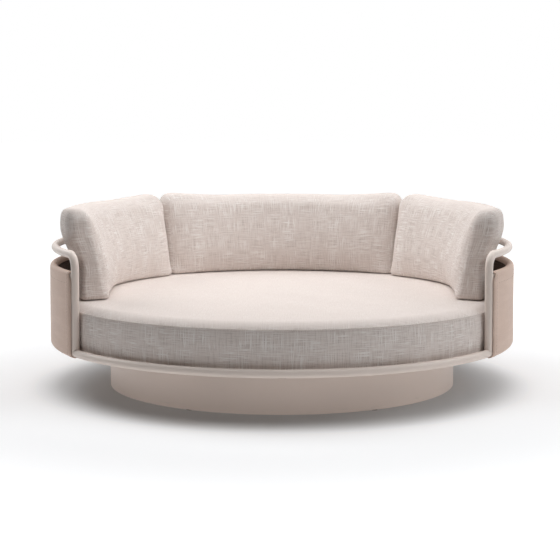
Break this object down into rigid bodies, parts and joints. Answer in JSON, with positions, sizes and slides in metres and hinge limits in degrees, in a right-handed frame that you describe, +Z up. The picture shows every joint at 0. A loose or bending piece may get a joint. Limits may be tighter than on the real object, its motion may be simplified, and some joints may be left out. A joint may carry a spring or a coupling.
{
  "type": "round daybed",
  "caption": "Round outdoor daybed on a drum base: bent tube rail with a sling back panel, slatted deck, round mattress and curved back cushions.",
  "frame": {"origin": "on the floor under the centre of the drum base", "axes": "+Z up, the open front faces -Y, +X to the right seen from the front"},
  "size_m": [2.1436, 2.1393, 0.8289],
  "materials": {
    "frame_metal": "matte",
    "slat_metal": "matte",
    "bolt_steel": "satin",
    "glide_plastic": "matte",
    "panel_leather": "satin",
    "lining_mesh": "matte",
    "linen_fabric": "matte",
    "foam": "matte"
  },
  "bodies": {
    "frame": {"base_drum": "frame_metal", "base_foot_ring": "frame_metal", "base_top_flange": "frame_metal", "base_gussets": "frame_metal", "centre_leg": "frame_metal", "deck_beam_left": "frame_metal", "deck_beam_centre": "frame_metal", "deck_beam_right": "frame_metal", "cross_beam_outer_left": "frame_metal", "cross_beam_outer_right": "frame_metal", "cross_beam_inner_left": "frame_metal", "cross_beam_inner_right": "frame_metal", "ring_front": "frame_metal", "ring_back": "frame_metal", "rail_left": "frame_metal", "rail_right": "frame_metal", "end_post_left": "frame_metal", "end_post_right": "frame_metal", "rear_post_left": "frame_metal", "rear_post_back": "frame_metal", "rear_post_right": "frame_metal", "panel_hem_tube": "frame_metal", "panel_bar_left": "frame_metal", "panel_bar_right": "frame_metal", "deck_slats": "slat_metal", "base_bolts": "bolt_steel", "base_glides": "glide_plastic", "back_panel": "panel_leather", "panel_lining": "lining_mesh"},
    "mattress": {"mattress_cover": "linen_fabric", "mattress_core": "foam"},
    "left_cushion": {"left_cushion_cover": "linen_fabric", "left_cushion_core": "foam"},
    "centre_cushion": {"centre_cushion_cover": "linen_fabric", "centre_cushion_core": "foam"},
    "right_cushion": {"right_cushion_cover": "linen_fabric", "right_cushion_core": "foam"}
  },
  "joints": [
    {"name": "mattress_lift", "type": "slide", "parent": "frame", "child": "mattress", "axis": [0, 0, 1], "range_m": [0, 0.45]},
    {"name": "left_cushion_lift", "type": "slide", "parent": "mattress", "child": "left_cushion", "axis": [0, 0, 1], "range_m": [0, 0.3]},
    {"name": "centre_cushion_lift", "type": "slide", "parent": "mattress", "child": "centre_cushion", "axis": [0, 0, 1], "range_m": [0, 0.3]},
    {"name": "right_cushion_lift", "type": "slide", "parent": "mattress", "child": "right_cushion", "axis": [0, 0, 1], "range_m": [0, 0.3]}
  ]
}
